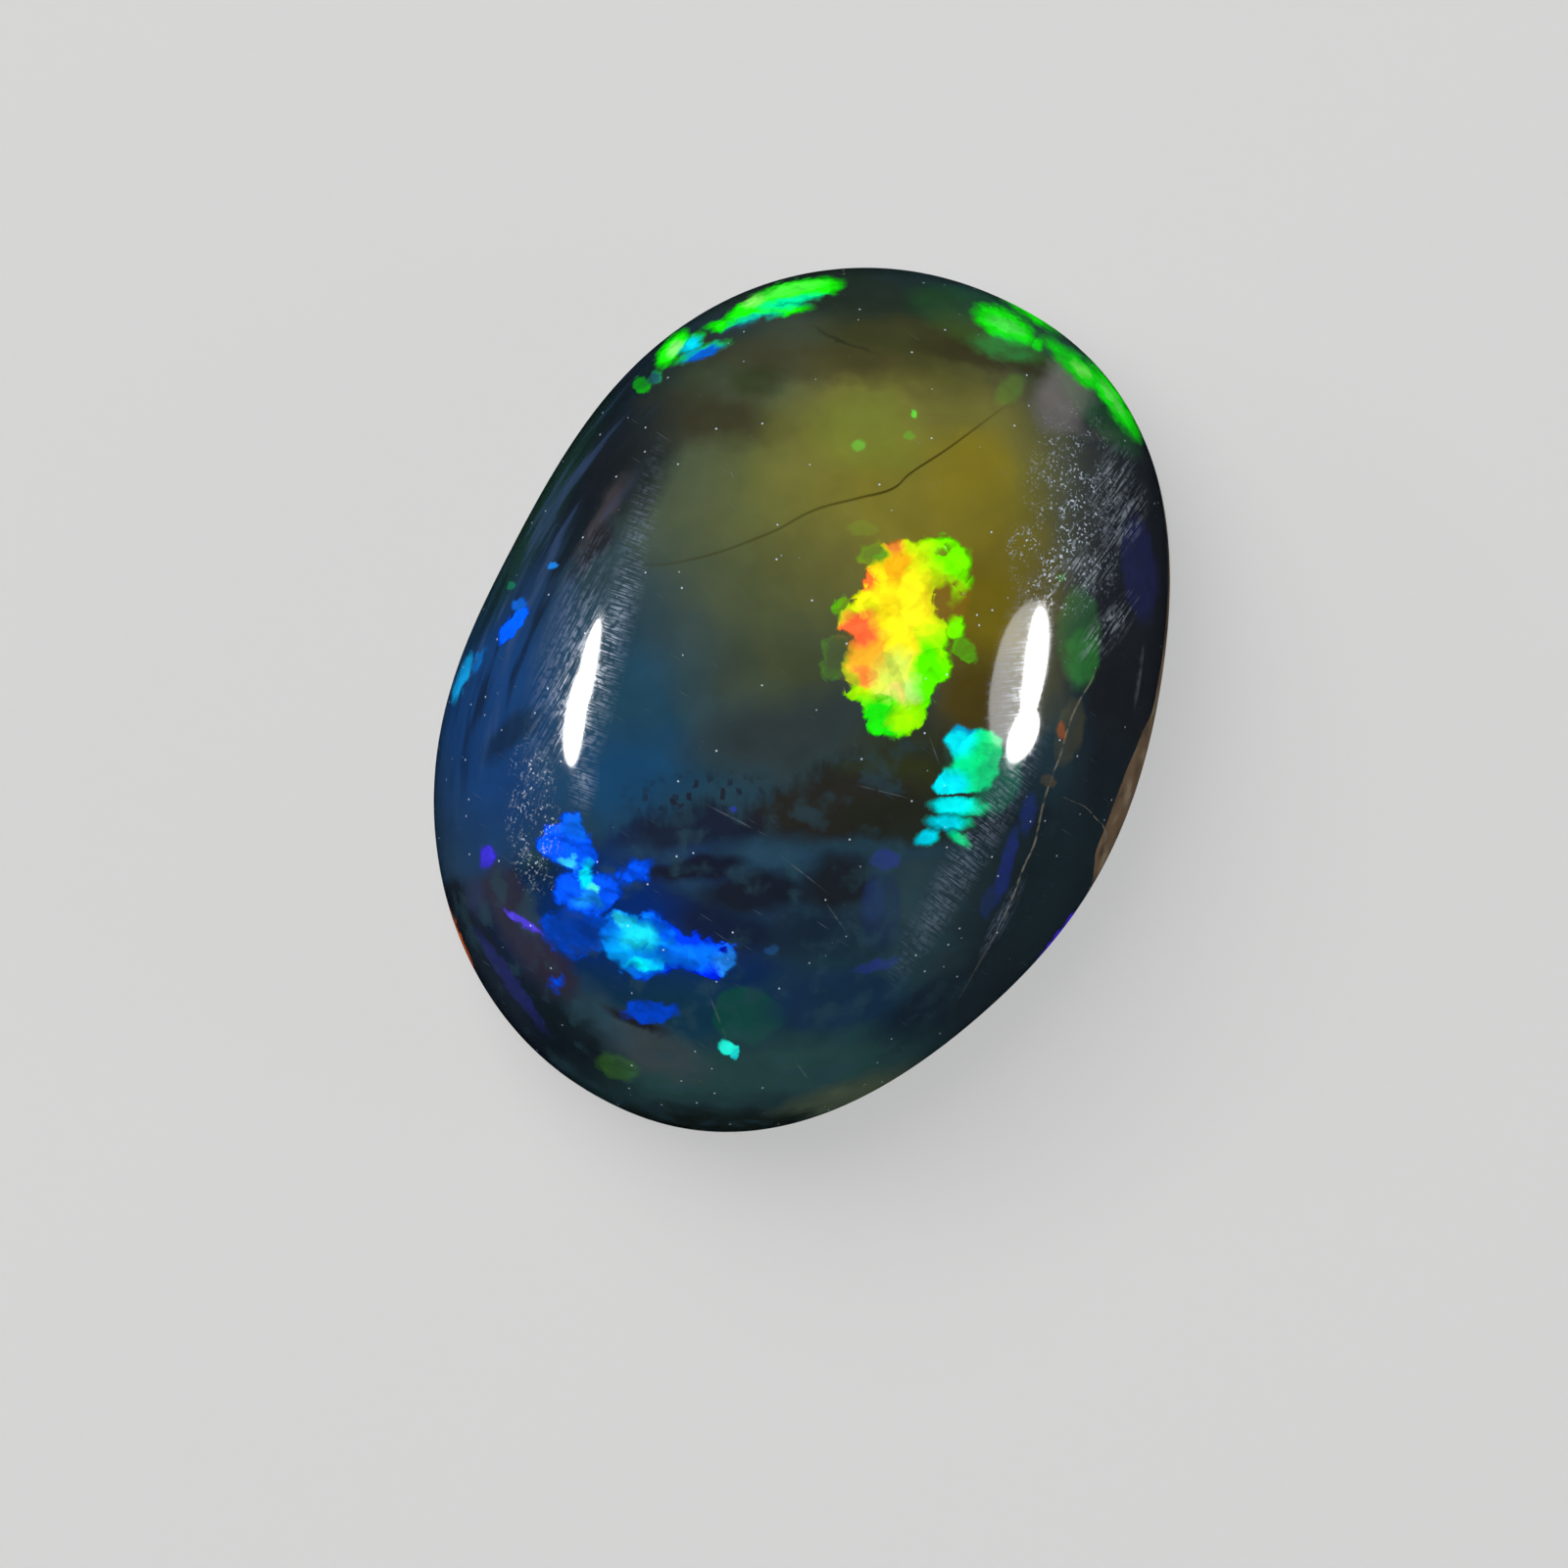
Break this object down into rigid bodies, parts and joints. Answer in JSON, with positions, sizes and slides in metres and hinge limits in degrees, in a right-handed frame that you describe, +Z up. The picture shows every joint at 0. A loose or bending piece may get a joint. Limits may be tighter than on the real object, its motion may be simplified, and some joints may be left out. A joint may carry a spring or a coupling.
{
  "type": "opal cabochon",
  "caption": "Polished oval black opal cabochon: a dark, glossy hand-cut dome with play of colour over a flat back, loose and unset.",
  "frame": {"origin": "middle of the flat back that the stone rests on", "axes": "+Z up through the dome, +Y along the stone's length; seen from above, the tan host-rock rim is on the +X side towards -Y"},
  "size_m": [0.0104, 0.014, 0.0058],
  "materials": {
    "opal": "polished"
  },
  "bodies": {
    "root": {"opal_cabochon": "opal"}
  },
  "joints": []
}
